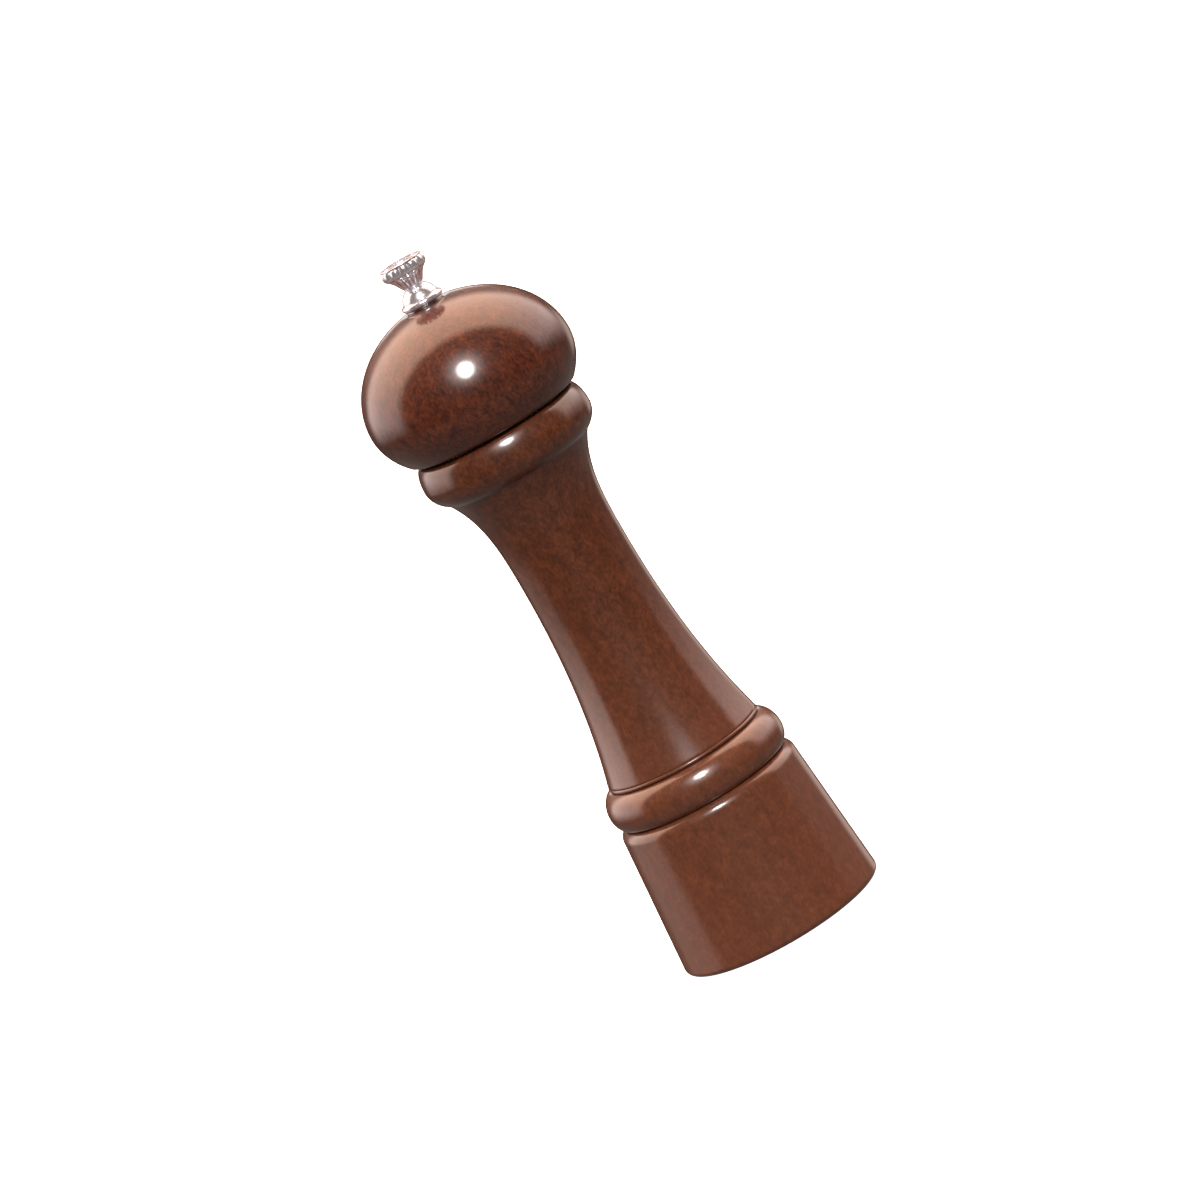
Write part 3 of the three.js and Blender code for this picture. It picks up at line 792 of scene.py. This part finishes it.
def make_shaft():
    """Square bar with a threaded round stretch at each end."""
    shaft = Extent("shaft")
    side, thread_radius, pitch = 4.76, 2.05, 0.794
    square_bottom, square_top, chamfer = 12.0, 187.2, 0.8
    thread_depth = 0.3
    thread = thread_form(pitch, thread_depth)
    corner = side / math.sqrt(2)

    def threaded(bottom, top):
        return rows((thread_radius, bottom), (thread_radius, top), int((top - bottom) / pitch * 8))

    square = [
        (thread_radius + 0.2, square_bottom), (corner, square_bottom + chamfer),
        (corner, square_top - chamfer), (thread_radius + 0.2, square_top),
    ]
    relief = thread_radius - thread_depth
    corners = (
        stretch([(0, shaft.bottom), (relief, shaft.bottom)])
        + stretch(threaded(shaft.bottom + 0.3, square_bottom - 0.6), form=thread)
        + stretch([(relief, square_bottom - 0.5), (relief, square_bottom)])
        + stretch(square, form=square_form(side))
        + stretch([(relief, square_top), (relief, square_top + 0.5)])
        + stretch(threaded(square_top + 0.6, shaft.top - 0.3), form=thread)
        + stretch([(relief, shaft.top), (0, shaft.top)])
    )
    finish(turned("spindle_of_square_bar", corners, 96), "shaft", "zinc_plate", ZINC)


def make_rotor():
    """Hardened cone: fine teeth round its grinding band, and coarse feed grooves above them."""
    rotor = Extent("rotor")
    teeth, grooves, groove_depth = 12, 4, 0.55
    band_top, band_radius, top_radius = 17.5, 7.9, 5.4
    bottom_radius = rotor.outer
    fine = tooth_form(teeth, 0.6)

    def grooved(angle, r, z):
        share = (z - band_top) / (rotor.top - band_top)
        lobe = 0.5 - 0.5 * math.cos(grooves * angle)
        return fine(angle, r, z) - groove_depth * share * lobe

    band = rows((bottom_radius, rotor.bottom + 0.1), (band_radius, band_top), 10)
    cone = rows((band_radius, band_top), (top_radius, rotor.top - 0.1), 12)
    side, chamfer = 5.0, 0.15
    flat = side / 2
    hole = square_hole_form(side)
    bore = [
        (flat + chamfer, rotor.top), (flat, rotor.top - 0.2),
        (flat, rotor.bottom + 0.2), (flat + chamfer, rotor.bottom),
    ]
    corners = (
        stretch([(bottom_radius - 0.8, rotor.bottom)])
        + stretch(band, form=fine) + stretch(cone, form=grooved)
        + stretch([(top_radius - 1.3, rotor.top)]) + stretch(bore, form=hole)
    )
    twist = TOOTH_TWIST * 2 * math.pi / teeth
    piece = turned("rotor_of_hardened_steel", corners, teeth * 20, twist=twist)
    finish(piece, "rotor", "steel", STEEL)


def make_stator():
    """Hardened ring: a funnel with grooves that lead down to a band of teeth."""
    teeth, mouth, throat, throat_z, funnel = 16, 10.6, 8.35, 17.5, 10.2
    cut = tooth_form(teeth, -0.6)
    outside = [
        (stator.outer, stator.bottom, 0.3), (stator.outer, 12.0), (stator.outer - 0.35, 12.3, 0.1),
        (stator.outer - 0.35, 14.1, 0.1), (stator.outer, 14.4), (stator.outer, stator.top, 0.4),
    ]
    funnel_rows = rows((funnel, stator.top - 0.05), (throat, throat_z), 12)
    band_rows = rows((throat, throat_z), (mouth, stator.bottom + 0.05), 12)
    corners = (
        stretch(outside) + stretch([(funnel + 0.9, stator.top)])
        + stretch(funnel_rows + band_rows, form=cut) + stretch([(mouth + 0.9, stator.bottom)])
    )
    twist = TOOTH_TWIST * 2 * math.pi / teeth
    piece = turned("stator_of_hardened_steel", corners, teeth * 15, twist=twist)
    holes = [drill(side * RIVET_X, 0, 1.0, stator.top - 3.5, stator.top) for side in (-1, 1)]
    finish(combined(piece, "DIFFERENCE", *holes), "stator", "steel", STEEL)


def make_nut():
    nut = Extent("rotor_nut")
    flank, bore = nut.outer * 0.89, 2.2
    outside = [
        (flank, nut.bottom), (nut.outer + 0.1, nut.bottom + 0.4),
        (nut.outer + 0.1, nut.top - 0.4), (flank, nut.top),
    ]
    inside = [
        (bore + 0.3, nut.top), (bore, nut.top - 0.3),
        (bore, nut.bottom + 0.3), (bore + 0.3, nut.bottom),
    ]
    corners = stretch(outside, form=hexagon_form(2 * nut.outer)) + stretch(inside)
    finish(turned("rotor_nut_of_steel", corners, 96), "rotor_nut", "zinc_plate", ZINC)


def make_spring():
    """Helix whose coils close up at both ends. In the mill it is pressed shorter as the thrust washer
    rises; here it is made at one length, from the CAD node's box.
    """
    low, high = (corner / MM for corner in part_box("spring"))
    coil, wire, turns, end_pitch = 4.4, 0.5, 6.5, 0.5
    steps_for_turn, sides_of_wire = 32, 14
    bottom, top = low.z + wire, high.z - wire
    path, outward = [], []
    count = int(turns * steps_for_turn)
    for i in range(count + 1):
        t = i / count
        rise = t - (1 - end_pitch) * math.sin(2 * math.pi * t) / (2 * math.pi)
        angle = 2 * math.pi * turns * t
        side = Vector((math.cos(angle), math.sin(angle), 0))
        path.append(side * coil + Vector((0, 0, bottom + (top - bottom) * rise)))
        outward.append(side)
    angles = [2 * math.pi * i / sides_of_wire for i in range(sides_of_wire)]
    section = [(wire * math.cos(a), wire * math.sin(a)) for a in angles]
    piece = swept("spring_of_steel_wire", path, outward, section)
    finish(piece, "spring", "steel", BRIGHT_STEEL)
    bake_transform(piece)


# ---- Floor, lights and camera -------------------------------------------------------------------

KEY = (3, 37)  # azimuth and elevation of the key light
ROOM = (0.06, 0.04, 0.032, 1)
TABLE = (0.26, 0.21, 0.19, 1)


def direction(azimuth, elevation):
    """Unit vector; azimuth 0 is towards the viewer and 90 to the right."""
    a, e = math.radians(azimuth), math.radians(elevation)
    return Vector((math.sin(a) * math.cos(e), -math.cos(a) * math.cos(e), math.sin(e)))


def add_key_light():
    """An upright oval lamp in front and above, that makes the small white highlights."""
    width, height, distance, radiance = 0.38, 0.54, 1.3, 27
    middle = Vector((0, 0, cad_box[1].z / 2))
    data = bpy.data.lights.new("key", "AREA")
    data.shape = "ELLIPSE"
    data.size = width
    data.size_y = height
    data.energy = radiance * math.pi * width * height * math.pi / 4
    light = bpy.data.objects.new("key", data)
    light.location = middle + direction(*KEY) * distance
    light.rotation_mode = "QUATERNION"
    light.rotation_quaternion = (middle - light.location).to_track_quat("-Z", "Y")
    light.visible_camera = False
    bpy.context.scene.collection.objects.link(light)


def add_floor():
    """A wide white floor, that isn't seen in reflections and throws no light back up."""
    radius, sides = 9.0, 96
    ring = [2 * math.pi * i / sides for i in range(sides)]
    mesh = bpy.data.meshes.new("floor")
    mesh.from_pydata([(radius * math.cos(a), radius * math.sin(a), 0) for a in ring], [], [range(sides)])
    shader = Shader("white floor", Roughness=0.9, Emission_Color=WHITE, Emission_Strength=0.97)
    shader.colour((0.9, 0.9, 0.9, 1))
    mesh.materials.append(shader.material)
    floor = bpy.data.objects.new("floor", mesh)
    floor.visible_glossy = False
    floor.visible_diffuse = False
    bpy.context.scene.collection.objects.link(floor)


class Studio(Nodes):
    """The room round the mill: dim, with a paler table below and soft panels of light."""

    def __init__(self, name):
        self.world = bpy.data.worlds.new(name)
        super().__init__(self.world)
        self.towards = self.add("ShaderNodeTexCoord", {}).outputs["Generated"]
        parts = self.add("ShaderNodeSeparateXYZ", {"Vector": self.towards})
        self.right = parts.outputs["X"]
        self.back = parts.outputs["Y"]
        self.up = parts.outputs["Z"]
        self.light = self.mix(self.fade(self.up, -0.15, -0.5), ROOM, TABLE)

    def fade(self, position, dark, bright):
        """A share that grows smoothly from 0 to 1 between two places."""
        return self.span(position, 0, 1, dark, bright, "SMOOTHSTEP")

    def calculate(self, operation, *values):
        return self.add("ShaderNodeMath", dict(enumerate(values)), operation=operation).outputs[0]

    def arch(self, side_colour, top_colour, tilt):
        """A band of light from side to side over the mill, ending lower on its left than its right."""
        colour = self.mix(self.fade(self.up, 0.15, 0.95), side_colour, top_colour)
        over_tilt = self.calculate("MULTIPLY_ADD", self.right, -tilt, self.up)
        share = self.fade(self.back, -0.18, 0.04)
        for limit in (self.fade(self.back, 0.88, 0.72), self.fade(over_tilt, -0.22, 0.18)):
            share = self.calculate("MULTIPLY", share, limit)
        self.light = self.mix(share, self.light, colour)

    def panel(self, azimuth, elevation, width, height, colour, softness):
        """Oval of light. Its width and height are the sines of the angles to its soft edge."""
        turned_to = (math.radians(-elevation), 0, math.radians(azimuth))
        inputs = {"Vector": self.towards, "Rotation": turned_to, "Scale": (width, 1, height)}
        flat = self.add("ShaderNodeMapping", inputs, vector_type="TEXTURE").outputs["Vector"]
        centre = {0: flat, 1: (0, -1, 0)}
        away = self.add("ShaderNodeVectorMath", centre, operation="DISTANCE").outputs["Value"]
        share = self.fade(away, 1 + softness, 1 - softness)
        self.light = self.mix(share, self.light, (*colour, 1))

    def finish(self):
        """The camera itself sees plain white behind the mill."""
        seen = self.add("ShaderNodeLightPath", {}).outputs["Is Camera Ray"]
        background = self.tree.nodes["Background"]
        self.feed(background, "Color", self.mix(seen, self.light, WHITE))
        bpy.context.scene.world = self.world


def add_world():
    """Soft light behind, an arch over the mill, a low panel at the right back, and the key's halo."""
    studio = Studio("studio")
    studio.panel(180, 26, 0.5, 0.3, (0.32, 0.27, 0.24), 0.4)
    studio.panel(180, 10, 0.16, 0.08, (1.6, 1.5, 1.45), 0.3)
    studio.arch((2.6, 2.15, 2.0, 1), (5.1, 3.4, 2.5, 1), 0.04)
    studio.panel(150, -8, 0.16, 0.16, (1.0, 0.8, 0.7), 0.5)
    studio.panel(*KEY, 0.24, 0.3, (5.5, 5.0, 4.8), 0.75)
    studio.finish()


def add_camera():
    """A long lens from a little above, leaning so that the mill's top points up and to the left."""
    aim = Vector((0.0008, 0, 0.0992))
    eye = Vector((0.0008, -1.70, 0.402))
    lean = math.radians(-30.2)
    data = bpy.data.cameras.new("camera")
    data.sensor_width = 36
    data.lens = 197.2
    camera = bpy.data.objects.new("camera", data)
    camera.location = eye
    camera.rotation_mode = "QUATERNION"
    camera.rotation_quaternion = (aim - eye).to_track_quat("-Z", "Y") @ Quaternion((0, 0, 1), lean)
    bpy.context.scene.collection.objects.link(camera)
    bpy.context.scene.camera = camera


add_camera()
make_barrel()
make_head()
make_knob()
make_washer("knob_washer", "washer_under_knob", "steel", BRIGHT_STEEL, 0.08)
make_washer("glide_washer", "washer_of_nylon", "nylon", NYLON, 0.15, 144)
make_washer("thrust_washer", "thrust_washer_of_brass", "brass", BRASS)
make_washer("rotor_washer", "washer_under_rotor", "zinc_plate", ZINC)
make_bush()
for screw_node, place in retainer_screws.items():
    make_screw(screw_node, place, 1.4, 1.3, 1.1)
for screw_node, place in drive_screws.items():
    make_screw(screw_node, place, 1.0, 1.0, 0.9)
make_rivet("bridge_rivet_1", "bridge_rivet_left")
make_rivet("bridge_rivet_2", "bridge_rivet_right")
make_retainer_plate()
make_drive_plate()
make_bridge()
make_shaft()
make_rotor()
make_stator()
make_nut()
make_spring()
add_floor()
add_world()
add_key_light()
bpy.context.scene.view_settings.view_transform = "Standard"
